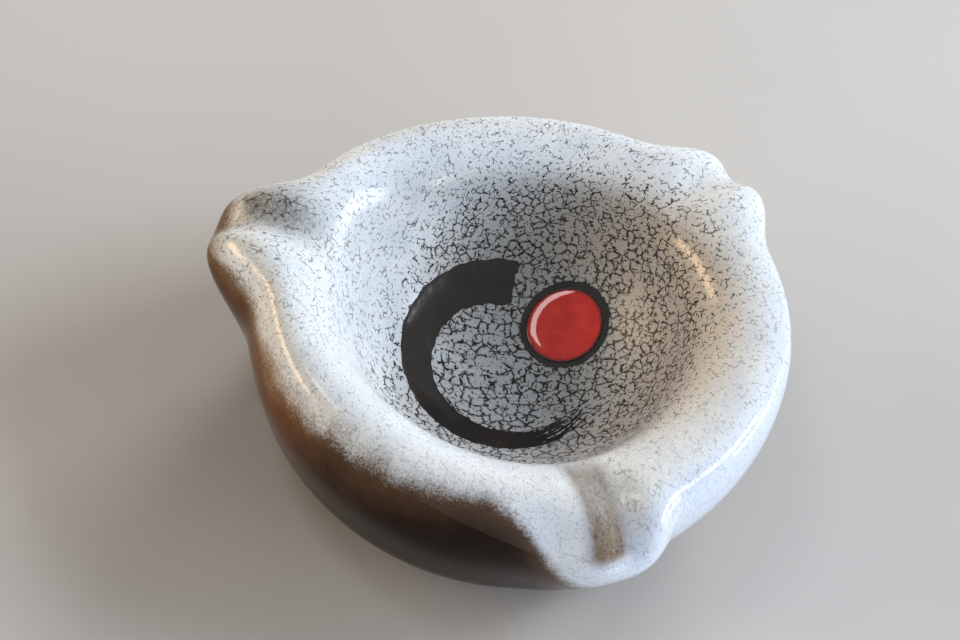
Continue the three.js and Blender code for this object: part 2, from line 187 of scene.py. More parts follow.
# Where the net of cracks starts and where it is full, along the section, round these bearings,
# and how far before it the rim's marks start to darken. Round 45 degrees the net, and the floor's
# greyer colour with it, starts early, partly as painted shade on the well's upper right wall.
NET_BEARINGS = (0, 45, 90, 125, 150, 180, 225, 270, 315)
NET_STARTS = (0.66, 0.60, 0.60, 0.65, 0.77, 0.88, 0.82, 0.74, 0.68)
NET_ENDS = (0.86, 0.79, 0.82, 0.89, 0.97, 1.04, 0.98, 0.92, 0.86)
RIM_LEAD = 0.03

# The tan streak down the front rest, partly thin glaze and partly painted shade in its groove, and
# the grey band down the left rest: the bearing, half the width in millimetres, and where along the
# section it starts, is full, fades and ends.
TAN_BEARING, TAN_HALF_WIDTH = 303.4, 5.0
TAN_RUN = (0.39, 0.45, 0.66, 0.75)
GREY_BEARING, GREY_HALF_WIDTH = 182.3, 6.0
GREY_RUN = (0.45, 0.53, 0.60, 0.72)

# The tan streak is even between its sides, weaker towards the well and so darker towards the lip
# as painted groove shade, and greyer at the lip, where painted shade stands for the groove's steep
# end.
TAN_SIDES = (0.06, 0.66)
TAN_WEAKEST, TAN_GROWTH = 0.8, (0.62, 0.50)
LIP_GREY, LIP_GROWTH = 0.6, (0.51, 0.45)

# On the rim, how strongly the cracks show and how close their net is, round these bearings.
RIM_BEARINGS = (0, 40, 80, 120, 160, 186, 205, 230, 270, 310, 340)
RIM_INK = (0.5, 0.6, 0.7, 0.78, 0.7, 0.7, 0.66, 0.48, 0.38, 0.45, 0.45)
RIM_NET = (0.0, 0.1, 0.15, 0.22, 0.15, 0.25, 0.25, 0.08, 0.0, 0.1, 0.0)

# What the glaze material reads at each vertex, and those values under the painted marks: all
# white, with a full dark net and no cast.
GLAZE_KEYS = ("fade", "gold", "net", "ink", "tan_cast", "grey_cast", "warm_cast", "cool_cast")
UNDER_MARKS = (3.0, 0.0, 1.0, 1.0, 0.0, 0.0, 0.0, 0.0)

# The cracks: two bends of the plan (size and amount in millimetres) and the detail and offset of
# their noise, the finer net's cells, shift and lines against the coarse one's, and how far and
# how strongly a crack stains the white.
BENDS = ((3.2, 1.2), (0.8, 0.95))
BEND_NOISE = (2.0, 7.0)
FINE_CELLS, FINE_SHIFT, FINE_LINES = 0.66, 31.0, 0.8
STAIN_REACH, STAIN_STRENGTH = 2.6, 0.2

# How close and how dark the cracks are in the grey streak and in the tan one.
GREY_NET, GREY_INK = 0.5, 0.95
TAN_NET, TAN_INK = 0.4, 0.75

# The way in which an offset moves a noise.
NOISE_WAY = (1.0, 0.7, -1.0)

# Noises: the size of a feature in millimetres, then detail, offset and roughness.
NOISES = {
    "swell": (0.8, 2.0, 3.0),
    "net_breaks": (2.4, 2.0, 11.0),
    "dash_breaks": (1.3, 1.0, 23.0),
    "specks": (0.5, 1.0, 37.0),
    "patches": (9.0, 3.0),
    "grain": (0.55, 3.0, 5.0, 0.65),
    "grey_cloud": (0.8, 4.0, 2.0, 0.7),
    "worn": (1.6, 4.0, 9.0, 0.7),
    "mottle": (0.6, 4.0, 17.0, 0.65),
    "cloud": (7.0, 3.0, 29.0),
    "sheen": (1.2, 3.0, 41.0),
    "peel": (4.0, 2.0, 13.0),
    "tone": (8.0, 2.0, 19.0),
    "dry_brush": (1.0, 4.0, 0.0, 0.6),
    "ragged": (1.0, 4.0, 3.0, 0.7),
    "halo_fray": (1.1, 4.0, 3.0, 0.75),
    "red_cloud": (4.0, 3.0, 6.0),
    "red_fray": (0.9, 4.0, 8.0, 0.7),
    "pits": (0.5, 2.0, 12.0),
    "clay_grain": (0.6, 5.0, 4.0, 0.7),
    "clay_cloud": (12.0, 3.0),
    "grit": (0.9, 2.0, 21.0),
    "floor_shade": (160.0, 3.0),
}

# Levels: what is read from low to high becomes 0 to 1, or start to end.
LEVELS = {
    "line": (0.6, 1.3, 1.0, 0.0),
    "kept": (-0.02, 0.04),
    "swell": (0.3, 0.7, 0.45, 1.4),
    "net_lines": (0.0, 1.0, 0.72, 1.0),
    "net_limit": (0.0, 1.0, 0.585, 0.435),
    "dash_limit": (0.0, 1.0, 0.56, 0.53),
    "specks": (0.63, 0.70),
    "closing": (0.2, 2.4, 0.35, 0.0),
    "patches": (0.35, 0.65),
    "grain": (0.4, 0.62, 0.0, 0.14),
    "floor": (0.3, 1.0, 0.0, 0.8),
    "grey_cloud": (0.32, 0.62, 0.4, 0.9),
    "worn": (0.3, 0.62, 0.86, 1.0),
    "ink": (0.2, 0.9),
    "golden": (-4.0, 0.5),
    "dull": (-2.5, 0.6),
    "whiteness": (-0.5, 0.9),
    "sheen": (0.3, 0.7, 0.8, 1.25),
    "matt": (0.5, 0.95),
    "tone": (0.4, 0.7),
    "thin": (0.5, 1.0, 0.6, 0.0),
    "stroke": (0.4, 0.6),
    "ring": (0.42, 0.58),
    "halo": (0.12, 0.42),
    "red_cloud": (0.35, 0.7),
    "red_edge": (0.97, 1.08),
    "pits": (0.70, 0.76),
    "clay_cloud": (0.35, 0.65),
    "grit": (0.66, 0.72),
    "floor_shade": (0.3, 0.7, 0.97, 1.03),
}

# The noises that fray the line where white fades, with their amounts, and where brown lies
# between black and tan.
FRAYING = (("mottle", 1.5), ("cloud", 1.2))
BROWN_STOP = 0.78

# How streaks stretch along the brushed ring, how ragged they are, how loaded the brush is, and
# how frayed the drop's edge is.
STREAK_STRETCH = (0.11, 1.25, 1.0)
RAGGED_SHARE, RING_LOAD, HALO_LOAD, RED_FRAYING = 0.35, 0.35, 0.62, 0.16

# Heights of the bumps, in metres, and the shaders' constants.
PEEL_HEIGHT, STROKE_PEEL_HEIGHT = 0.00006, 0.00008
CRACK_DEPTH, PIT_DEPTH = 0.000012, 0.00006
CLAY_GRAIN_HEIGHT, CLAY_GRAIN_STRENGTH = 0.00025, 0.7
DARK_SPECULAR, WHITE_SPECULAR = 0.09, 0.32
STROKE_ROUGHNESS, CLAY_ROUGHNESS, FLOOR_ROUGHNESS = 0.12, 0.85, 0.7
DROP_SHADER = {
    "Roughness": 0.06, "Specular IOR Level": 0.1, "Coat Weight": 1.0, "Coat IOR": 1.45,
    "Coat Roughness": 0.03,
}

# Colours of the glazes and the clay: what each is, and its value.
LOOK_COLOURS = {
    "white_colour": ("White glaze", (0.73, 0.79, 0.84)),
    "cool_colour": ("Cooler patches of the white glaze", (0.66, 0.73, 0.795)),
    # Partly a greyer glaze on the well's floor, partly painted shade there.
    "floor_colour": ("White glaze on the well's floor", (0.49, 0.50, 0.50)),
    "speck_colour": ("Fine specks in the white glaze", (0.16, 0.17, 0.20)),
    "crack_colour": ("Dark glaze in the cracks", (0.012, 0.011, 0.012)),
    "pale_crack_colour": ("Cracks under thick glaze", (0.20, 0.21, 0.25)),
    # Grey in a band down the left rest's groove, and painted shade at the front rest's lip.
    "soot_colour": ("White glaze where it is worn to grey", (0.16, 0.155, 0.15)),
    # Partly a thin glaze showing tan, partly painted shade in the front rest's groove.
    "streak_colour": ("White glaze where it is worn to tan", (0.160, 0.118, 0.076)),
    # Partly a warmer glaze, partly painted warm light and highlight on the right shoulder and wall.
    "warm_colour": ("White glaze where it is warmer", (0.60, 0.50, 0.38)),
    # Partly a bluer glaze, partly painted shade on the rim's outer right side.
    "outer_colour": ("White glaze on the rim's outer side", (0.52, 0.585, 0.69)),
    # The thin glaze's lit copy, and below it its painted shaded copy.
    "tan_colour": ("Thin white glaze over the dark one", (0.29, 0.19, 0.105)),
    "dull_colour": ("The same on the shaded side", (0.062, 0.038, 0.023)),
    "brown_colour": ("Dark glaze where it thins", (0.15, 0.062, 0.02)),
    "black_colour": ("Dark glaze", (0.005, 0.002, 0.001)),
    "stroke_colour": ("Brushed dark glaze", (0.014, 0.012, 0.011)),
    "stroke_brown": ("Brushed dark glaze where it thins", (0.024, 0.020, 0.017)),
    "red_colour": ("Red glaze", (1.0, 0.038, 0.020)),
    "deep_red_colour": ("Red glaze where it is thick", (0.84, 0.020, 0.011)),
    "clay_colour": ("Bare clay", (0.47, 0.31, 0.19)),
    "dark_clay_colour": ("Bare clay where it is toasted", (0.33, 0.20, 0.12)),
}

# Lamps: bearing and height in degrees, width and height in metres, power in watts, colour, whether
# they show as highlights, and whether they light surfaces. All stand at one distance in metres.
LAMP_DISTANCE = 1.8
DAYLIGHT = (0.94, 0.99, 1.07)
PLAIN = (1.0, 1.0, 1.0)
LAMPS = {
    "window": (12, 22, 1.05, 0.24, 9.3, DAYLIGHT, False, True),
    "pane": (14, 21, 0.8, 0.34, 10.0, DAYLIGHT, True, False),
    "sill": (24, 3.4, 0.8, 0.2, 5.6, DAYLIGHT, True, True),
    "right": (346, 18, 0.7, 0.4, 5.5, DAYLIGHT, False, True),
    "front": (299, 3, 0.8, 0.14, 16.0, DAYLIGHT, False, True),
    "window_top": (36, 36, 0.8, 0.6, 21.0, (0.96, 1.0, 1.05), False, True),
    "back": (84, 22, 0.8, 0.5, 18.5, (1.04, 0.99, 0.93), False, True),
    "side": (192, 4.5, 1.2, 0.22, 10.0, (1.0, 0.74, 0.46), False, True),
    "fill": (194, 23, 1.3, 0.26, 12.5, (1.0, 0.76, 0.52), False, True),
    "glow": (190, 24, 1.3, 0.5, 26.0, (1.0, 0.68, 0.38), True, False),
    "glint": (182, 64, 0.36, 0.36, 3.0, PLAIN, True, True),
    "spark": (330, 11, 0.2, 0.2, 2.0, PLAIN, True, False),
}
SKY_COLOUR = (1.0, 0.95, 0.89, 1.0)

# The camera, solved on the photo's outline: the angles by which it leans and rolls, the distance
# to its target in millimetres, its focal length in pixels, and the pixel where the target lies.
CAMERA_LEAN, CAMERA_ROLL = 0.642, 0.384
CAMERA_DISTANCE, CAMERA_FOCAL = 600.0, 2423.83
TARGET_HEIGHT = 30.0
TARGET_PIXEL = (517.65, 351.59)
IMAGE_SIZE = (960, 640)
SENSOR, CLIP_START = 36.0, 0.01


# Shape

def angle_from(turn, bearing):
    """The signed angle from a bearing in degrees to a turn, the short way round, in radians."""
    difference = turn - np.radians(bearing)
    return difference - 2 * np.pi * np.round(difference / (2 * np.pi))


def smooth(low, high, value):
    """0 below low, 1 above high, and 3t^2 - 2t^3 between them."""
    share = np.clip((value - low) / (high - low), 0, 1)
    return share * share * (3 - 2 * share)


def within(run, value):
    """Rises smoothly over the first two places of a run, and falls over its last two."""
    start, full, fading, end = run
    return smooth(start, full, value) * smooth(end, fading, value)


def bell(turn, amount, bearing, spread):
    """amount exp(-(angle / spread)^4) about a bearing in degrees, with the spread in radians."""
    return amount * np.exp(-((angle_from(turn, bearing) / spread) ** 4))


def streak(turn, radius, bearing, half_width):
    """exp(-(r angle / half width)^2) about a bearing in degrees."""
    return np.exp(-((radius * angle_from(turn, bearing) / half_width) ** 2))


def waves(value, terms):
    """The sum of amount sin(rate value + phase)."""
    return sum(amount * np.sin(rate * value + phase) for amount, rate, phase in terms)


def round_table(turn, bearings, values):
    """Values given at bearings, read at a turn: straight between them, then averaged."""
    spread = np.radians(np.linspace(-TABLE_BLUR, TABLE_BLUR, TABLE_SAMPLES))
    places = np.degrees(turn[..., None] + spread) % 360
    return np.interp(places, bearings, values, period=360).mean(-1)


def curve_weights(along):
    """Weights of the control points at places along a clamped uniform cubic B-spline, by the sum
    w_i = (t - k_i) / (k_i+d - k_i) w_i + (k_i+d+1 - t) / (k_i+d+1 - k_i+1) w_i+1 on its knots."""
    inner = np.linspace(0, 1, len(SECTION) - CURVE_DEGREE + 1)
    knots = np.concatenate([np.zeros(CURVE_DEGREE), inner, np.ones(CURVE_DEGREE)])
    t = np.clip(along, 0, 1 - 1e-9)[..., None]
    w = ((t >= knots[:-1]) & (t < knots[1:])).astype(float)
    for d in range(1, CURVE_DEGREE + 1):
        rise = knots[d:-1] - knots[:-d - 1]
        fall = knots[d + 1:] - knots[1:-d]
        up = np.where(rise > 0, (t - knots[:-d - 1]) / np.where(rise > 0, rise, 1), 0)
        down = np.where(fall > 0, (knots[d + 1:] - t) / np.where(fall > 0, fall, 1), 0)
        w = up * w[..., :-1] + down * w[..., 1:]
    return w


def rest_share(rest, turn):
    """1 in the middle of a rest and exp(-|angle / half angle|^squareness) beside it."""
    bearing, half_angle, _, _ = rest
    return np.exp(-np.abs(angle_from(turn, bearing) / np.radians(half_angle)) ** REST_SQUARENESS)


def plain_skin(turn, along):
    """The skin without grooves: the section's curve turned about the axis, with its radius
    swelled by a cos 2(turn) + b cos 3(turn), plus each rest's reach and lift, and eased on the
    gentler side by exp(-(angle / half angle)^4)."""
    oval = OVAL_SWELL * np.cos(2 * angle_from(turn, OVAL_BEARING))
    three = THREE_SIDE_SWELL * np.cos(3 * angle_from(turn, THREE_SIDE_BEARING))
    shares = [rest_share(rest, turn) for rest in RESTS]
    reach = sum(share * reach for share, (_, _, reach, _) in zip(shares, RESTS))
    lift = sum(share * lift for share, (_, _, _, lift) in zip(shares, RESTS))
    gentle = bell(turn, 1.0, GENTLE_BEARING, np.radians(GENTLE_HALF_ANGLE))
    columns = np.moveaxis(curve_weights(along) @ SECTION, -1, 0)
    radius, height, swells, reaches, lifts, shifts, outwards, upwards = columns
    radius = radius + (oval + three) * swells + reach * reaches + gentle * outwards
    x = radius * np.cos(turn) + WELL_SHIFT_X * shifts
    y = radius * np.sin(turn) + WELL_SHIFT_Y * shifts
    return np.stack([x, y, height + lift * lifts + gentle * upwards], -1)


def normal_of(surface, turn, along):
    """The outward direction: the cross product of a step across the turn and one along."""
    low = np.maximum(along - SLOPE_STEP, 0)
    high = np.minimum(along + SLOPE_STEP, 1)
    middle = (low + high) / 2
    across = surface(turn + SLOPE_STEP, middle) - surface(turn - SLOPE_STEP, middle)
    up = surface(turn, high) - surface(turn, low)
    normal = np.cross(across, up)
    normal /= np.maximum(np.linalg.norm(normal, axis=-1, keepdims=True), 1e-12)
    return np.where((along > 1 - 1e-6)[..., None], np.array([0.0, 0.0, 1.0]), normal)


def groove_share(turn, along, radius, rests=RESTS):
    """How much of a groove there is: its streak times exp(-((along - middle) / half run)^4)."""
    fade = np.exp(-(((along - GROOVE_MIDDLE) / GROOVE_HALF_RUN) ** 4))
    return fade * np.max([streak(turn, radius, rest[0], GROOVE_HALF_WIDTH) for rest in rests], 0)


def skin(turn, along):
    """The solid's own outer face: the plain skin with the grooves pressed in along its normal."""
    point = plain_skin(turn, along)
    depth = GROOVE_DEPTH * groove_share(turn, along, np.hypot(point[..., 0], point[..., 1]))
    return point - normal_of(plain_skin, turn, along) * depth[..., None]


def hand_waves(turn, along):
    """Slow unevenness of hand work, from 0 to 1: half of 1 plus the mean of crossing waves
    sin(m turn + n along + phase)."""
    crossing = sum(np.sin(m * turn + n * along + phase) for m, n, phase in HAND_WAVES)
    return 0.5 + crossing / (2 * len(HAND_WAVES))


def surface_places(turn, along):
    """Points of the visible face and their outward directions. The face lies SKIN_INSET plus up
    to WAVE_DEPTH under the solid's, so that it stays inside the solid's box."""
    point = skin(turn, along)
    normal = normal_of(skin, turn, along)
    calm = smooth(*CALM_RUN, along)
    inset = SKIN_INSET + WAVE_DEPTH * (hand_waves(turn, along) * calm + 0.5 * (1 - calm))
    return point - normal * inset[..., None], normal


def white_edge(turn):
    """Where the white coat ends, along the section: low + rise exp(-(angle / spread)^4)."""
    spread = np.radians(WHITE_EDGE_SPREAD)
    return WHITE_EDGE + bell(turn, WHITE_EDGE_RISE, WHITE_EDGE_BEARING, spread)


def white_depth(turn, along):
    """The white coat's thickness, from a feather at its edge to its full value."""
    edge = white_edge(turn)
    share = smooth(edge, edge + WHITE_EDGE_TAPER, along)
    return FEATHER_THICKNESS + (WHITE_THICKNESS - FEATHER_THICKNESS) * share


def covered(turn, along):
    """1 where the white coat lies over the dark one, and 0 below its edge."""
    return (along >= white_edge(turn) - 1e-9).astype(float)


def dark_top(turn, along):
    """How deep the dark coat's face lies: under the white coat and a gap, or at the surface."""
    return covered(turn, along) * (white_depth(turn, along) + COAT_GAP)


def dark_under(turn, along):
    """How deep the dark coat's underside lies."""
    return dark_top(turn, along) + DARK_THICKNESS


def flat_plan(turn, along):
    """The skin laid out flat, in millimetres: a place lies at its own turn, at the distance
    ((1 - p) integral of ds / r^p)^(1 / (1 - p)) from the middle of the well, where s runs along
    the section from there and r is its radius. p = 0 keeps lengths and p = 1 keeps shapes."""
    steps = np.linspace(1, 0, PLAN_SAMPLES)
    points = curve_weights(steps) @ SECTION[:, :2]
    pieces = np.linalg.norm(np.diff(points, axis=0), axis=1)
    radii = (points[1:, 0] + points[:-1, 0]) / 2
    whole = np.concatenate([[0], np.cumsum(pieces / radii**PLAN_SHAPE)])
    distance = ((1 - PLAN_SHAPE) * whole) ** (1 / (1 - PLAN_SHAPE))
    here = np.interp(1 - along, 1 - steps, distance)
    return np.stack([here * np.cos(turn), here * np.sin(turn)], -1)


def well_places(x, y):
    """Places of the well under points of the plan, found along the section by halving."""
    turn = np.arctan2(y - WELL_SHIFT_Y, x - WELL_SHIFT_X)
    wanted = np.hypot(x - WELL_SHIFT_X, y - WELL_SHIFT_Y)
    low = np.full_like(wanted, WELL_START)
    high = np.ones_like(wanted)
    for _ in range(WELL_HALVINGS):
        middle = (low + high) / 2
        point = plain_skin(turn, middle)
        radius = np.hypot(point[..., 0] - WELL_SHIFT_X, point[..., 1] - WELL_SHIFT_Y)
        low = np.where(radius > wanted, middle, low)
        high = np.where(radius > wanted, high, middle)
    return turn, (low + high) / 2


# Meshes

def add_mesh(name, points, faces, values=None, maps=None):
    """An object at the origin from points in millimetres and faces, with named values and named
    flat maps given once per vertex."""
    mesh = bpy.data.meshes.new(name)
    mesh.from_pydata((points * MM).tolist(), [], faces)
    mesh.validate()
    for key, data in (values or {}).items():
        layer = mesh.attributes.new(key, "FLOAT", "POINT")
        layer.data.foreach_set("value", data.astype(np.float32))
    loops = np.empty(len(mesh.loops), dtype=np.int32)
    mesh.loops.foreach_get("vertex_index", loops)
    for key, data in (maps or {}).items():
        mesh.uv_layers.new(name=key).data.foreach_set("uv", data[loops].astype(np.float32).ravel())
    mesh.shade_smooth()
    mesh.set_sharp_from_angle(angle=SHARP_ANGLE)
    obj = bpy.data.objects.new(name, mesh)
    bpy.context.scene.collection.objects.link(obj)
    return obj


def ring_faces(rings, steps):
    """Quads between rings of steps vertices each, with one vertex beyond each end as a pole."""
    start = 1
    ring, step = np.meshgrid(np.arange(rings - 1), np.arange(steps), indexing="ij")
    after = (step + 1) % steps
    a, b = start + ring * steps + step, start + ring * steps + after
    quads = np.stack([a, b, b + steps, a + steps], -1).reshape(-1, 4).tolist()
    i = np.arange(steps)
    j = (i + 1) % steps
    quads += np.stack([np.zeros_like(i), start + j, start + i], -1).tolist()
    last = start + (rings - 1) * steps
    quads += np.stack([last + i, last + j, np.full_like(i, last + steps)], -1).tolist()
    return quads


def closed_rings(name, rings, values=None, maps=None):
    """A closed surface from an array of rings (rings, steps, 3), with the mean of its first and
    of its last ring as poles. Values and maps are given per point, and the poles take their
    ring's mean."""
    def with_poles(data):
        flat = data.reshape((-1,) + data.shape[2:])
        return np.concatenate([data[0].mean(0)[None], flat, data[-1].mean(0)[None]])

    count, steps, _ = rings.shape
    values = {key: with_poles(data) for key, data in (values or {}).items()}
    maps = {key: with_poles(data) for key, data in (maps or {}).items()}
    return add_mesh(name, with_poles(rings), ring_faces(count, steps), values, maps)


def closed_strip(name, top, under, values, maps):
    """A closed strip between two sheets of points (rows, columns, 3). The sheets' edges are
    joined by walls, and values and maps are given once per point of a sheet."""
    rows, columns, _ = top.shape
    count = rows * columns
    row, column = np.meshgrid(np.arange(rows - 1), np.arange(columns - 1), indexing="ij")
    a = row * columns + column
    upper = np.stack([a, a + 1, a + columns + 1, a + columns], -1).reshape(-1, 4)
    lower = upper[:, ::-1] + count
    index = np.arange(count).reshape(rows, columns)
    loop = np.concatenate([index[0], index[1:, -1], index[-1, -2::-1], index[-2:0:-1, 0]])
    following = np.roll(loop, -1)
    walls = np.stack([following, loop, loop + count, following + count], -1)
    faces = np.concatenate([upper, lower, walls]).tolist()
    points = np.concatenate([top.reshape(-1, 3), under.reshape(-1, 3)])
    values = {key: np.tile(data.ravel(), 2) for key, data in values.items()}
    maps = {key: np.tile(data.reshape(-1, 2), (2, 1)) for key, data in maps.items()}
    return add_mesh(name, points, faces, values, maps)


def glaze_values(turn, along, point):
    """What the glaze material reads at each vertex: how far a place lies above the line where
    white fades, how much of that fading takes its lit copy rather than its painted shaded one, how
    full the net of cracks is, how dark they are, the tan streak, partly painted groove shade, the
    grey band with painted shade at the front lip, the warm tint, partly painted warm light, and the
    cool tint, partly painted shade."""
    line = round_table(turn, FADE_BEARINGS, FADE_PLACES)
    width = round_table(turn, FADE_WIDTH_BEARINGS, FADE_WIDTHS)
    start, end = (round_table(turn, NET_BEARINGS, table) for table in (NET_STARTS, NET_ENDS))
    rim = 1 - smooth(start - RIM_LEAD, (start + end) / 2, along)
    radius = np.hypot(point[..., 0], point[..., 1])
    tan = smooth(*TAN_SIDES, streak(turn, radius, TAN_BEARING, TAN_HALF_WIDTH))
    tan = tan * within(TAN_RUN, along)
    # Darker towards the lip: painted shade in the groove.
    tan = tan * (TAN_WEAKEST + (1 - TAN_WEAKEST) * smooth(*TAN_GROWTH, along))
    grey = streak(turn, radius, GREY_BEARING, GREY_HALF_WIDTH) * within(GREY_RUN, along)
    # Painted shade where the groove drops steeply at the front lip.
    lip = LIP_GREY * tan * smooth(*LIP_GROWTH, along)
    # Painted warm light: a warm glow on the right shoulder and the wall below it, partly a warmer
    # glaze.
    shoulder = np.exp(-(((along - SHOULDER_PLACE) / SHOULDER_RUN) ** 2))
    warm = bell(turn, *SHOULDER_GLOW) * shoulder + bell(turn, *WALL_GLOW) * within(WALL_RUN, along)
    warm = warm + GROOVE_CAST * groove_share(turn, along, radius, (BACK_REST,))
    # Painted shade on the rim's outer right side, partly a bluer glaze.
    cool = bell(turn, *OUTER_SHADE) * smooth(*OUTER_SHADE_FADE, along)
    values = (
        np.clip((along - line) / width, *FADE_LIMITS),
        # Which side takes the lit copy of the fading: painted light and shade.
        round_table(turn, LIT_SIDE_BEARINGS, LIT_SIDE),
        np.maximum(smooth(start, end, along), round_table(turn, RIM_BEARINGS, RIM_NET)),
        round_table(turn, RIM_BEARINGS, RIM_INK) * rim + 1 - rim,
        # The grey band in the left groove, with the painted shade at the front lip.
        tan, np.maximum(grey, lip), np.clip(warm, 0, 1), cool,
    )
    return dict(zip(GLAZE_KEYS, values))


def coat_object(name, first_along, outer_depth, inner_depth, steps, outer_rows, inner_rows):
    """A closed coat between two depths under the visible face, from first_along(turn) to the
    middle of the well. Its rings run from the middle outwards beneath, then back above."""
    turns = np.linspace(0, 2 * np.pi, steps, endpoint=False)
    first = first_along(turns)

    def sheet(shares, depth_of):
        along = first[None] + (LAST_ALONG - first[None]) * shares[:, None]
        turn = np.broadcast_to(turns, along.shape)
        point, normal = surface_places(turn, along)
        return turn, along, point - normal * depth_of(turn, along)[..., None]

    outer_turn, outer_along, outer = sheet(np.linspace(0, 1, outer_rows), outer_depth)
    inner_turn, inner_along, inner = sheet(np.linspace(1, 0, inner_rows), inner_depth)
    turn = np.concatenate([inner_turn, outer_turn])
    along = np.concatenate([inner_along, outer_along])
    rings = np.concatenate([inner, outer])
    maps = {"plan": flat_plan(turn, along)}
    return closed_rings(name, rings, glaze_values(turn, along, rings), maps)


def lay_on_well(x, y, height):
    """Points of the well's visible face above x and y, raised by a height, and their flat plan."""
    turn, along = well_places(x, y)
    point, normal = surface_places(turn, along)
    return point + normal * height[..., None], flat_plan(turn, along)


# Materials

def new_material(name):
    """An empty node material with its output and one Principled shader."""
    material = bpy.data.materials.new(name)
    material.use_nodes = True
    tree = material.node_tree
    tree.nodes.clear()
    shader = tree.nodes.new("ShaderNodeBsdfPrincipled")
    output = tree.nodes.new("ShaderNodeOutputMaterial")
    tree.links.new(shader.outputs["BSDF"], output.inputs["Surface"])
    return material, tree, shader


def put(tree, socket, value):
    """Sets a socket to a constant, or links it to an output."""
    if isinstance(value, bpy.types.NodeSocket):
        tree.links.new(value, socket)
    else:
        socket.default_value = value


def math_node(tree, operation, a, b=0.0, c=0.0):
    """The result of one Math node."""
    node = tree.nodes.new("ShaderNodeMath")
    node.operation = operation
    for socket, value in zip(node.inputs, (a, b, c)):
        put(tree, socket, value)
    return node.outputs[0]


def times(tree, a, b):
    """The product of two values."""
    return math_node(tree, "MULTIPLY", a, b)


def largest(tree, most, *others):
    """The largest of some values."""
    for value in others:
        most = math_node(tree, "MAXIMUM", most, value)
    return most


def vector_node(tree, operation, *vectors, scale=None):
    """The result of one Vector Math node. Only the operation SCALE has a scale."""
    node = tree.nodes.new("ShaderNodeVectorMath")
    node.operation = operation
    for socket, vector in zip(node.inputs, vectors):
        put(tree, socket, vector)
    if scale is not None:
        put(tree, node.inputs["Scale"], scale)
    return node.outputs[0]


def level(tree, value, name):
    """A value mapped smoothly as LEVELS says, and held beyond its range."""
    low, high, start, end = (*LEVELS[name], 0.0, 1.0)[:4]
    node = tree.nodes.new("ShaderNodeMapRange")
    node.interpolation_type = "SMOOTHSTEP"
    sockets = {"Value": value, "From Min": low, "From Max": high, "To Min": start, "To Max": end}
    for key, item in sockets.items():
        put(tree, node.inputs[key], item)
    return node.outputs["Result"]


def mix(tree, share, a, b):
    """Colour a turning into colour b."""
    node = tree.nodes.new("ShaderNodeMix")
    node.data_type = "RGBA"
    put(tree, node.inputs["Factor"], share)
    put(tree, node.inputs[6], a)
    put(tree, node.inputs[7], b)
    return node.outputs[2]


def ramp(tree, value, low, high, *middle):
    """Colour low at 0 turning into high at 1, by way of pairs of a place and a colour."""
    node = tree.nodes.new("ShaderNodeValToRGB")
    put(tree, node.inputs["Fac"], value)
    stops = node.color_ramp.elements
    stops[0].color, stops[1].color = low[:], high[:]
    for place, colour in middle:
        stops.new(place).color = colour[:]
    return node.outputs["Color"]


def millimetres(tree):
    """Object coordinates in millimetres."""
    coordinates = tree.nodes.new("ShaderNodeTexCoord")
    return vector_node(tree, "SCALE", coordinates.outputs["Object"], scale=1 / MM)


def noise(tree, vector, size, detail=2.0, offset=0.0, rough=0.5, output="Fac"):
    """Noise whose features are about size millimetres wide, or its colour."""
    if offset:
        vector = vector_node(tree, "ADD", vector, [offset * part for part in NOISE_WAY])
    node = tree.nodes.new("ShaderNodeTexNoise")
    put(tree, node.inputs["Vector"], vector)
    settings = {"Scale": 1.0 / size, "Detail": detail, "Roughness": rough}
    for key, value in settings.items():
        node.inputs[key].default_value = value
    return node.outputs[output]


def texture(tree, vector, name):
    """The noise called name, mapped to the level called name."""
    return level(tree, noise(tree, vector, *NOISES[name]), name)


def bent(tree, vector, size, amount):
    """A vector pushed about by noise: p + amount (noise(p / size) - 1/2)."""
    push = noise(tree, vector, size, *BEND_NOISE, output="Color")
    push = vector_node(tree, "SUBTRACT", push, (0.5, 0.5, 0.5))
    return vector_node(tree, "MULTIPLY_ADD", push, (amount, amount, amount), vector)


def cell_edges(tree, vector, size, offset=0.0):
    """Distance to the borders of flat Voronoi cells about size millimetres wide, in millimetres."""
    if offset:
        vector = vector_node(tree, "ADD", vector, (offset, -offset, 0.0))
    node = tree.nodes.new("ShaderNodeTexVoronoi")
    node.voronoi_dimensions = "2D"
    node.feature = "DISTANCE_TO_EDGE"
    put(tree, node.inputs["Vector"], vector)
    node.inputs["Scale"].default_value = 1.0 / size
    return times(tree, node.outputs["Distance"], size)


def flat_map(tree, name):
    """The place on one of the piece's flat maps, in millimetres."""
    node = tree.nodes.new("ShaderNodeUVMap")
    node.uv_map = name
    return node.outputs["UV"]


def attribute(tree, name):
    """A value stored at the vertices."""
    node = tree.nodes.new("ShaderNodeAttribute")
    node.attribute_name = name
    return node.outputs["Fac"]


def bump(tree, height, distance, strength=1.0, below=None):
    """A normal bent by a height, whose full scale is distance metres."""
    node = tree.nodes.new("ShaderNodeBump")
    node.inputs["Strength"].default_value = strength
    node.inputs["Distance"].default_value = distance
    put(tree, node.inputs["Height"], height)
    if below is not None:
        put(tree, node.inputs["Normal"], below)
    return node.outputs["Normal"]


def broken_lines(tree, edges, half, limit, breaks):
    """Lines along cell borders: 1 where the border is nearer than half, kept only where the
    noise called breaks lies above limit."""
    line = level(tree, math_node(tree, "DIVIDE", edges, half), "line")
    return times(tree, line, level(tree, math_node(tree, "SUBTRACT", breaks, limit), "kept"))


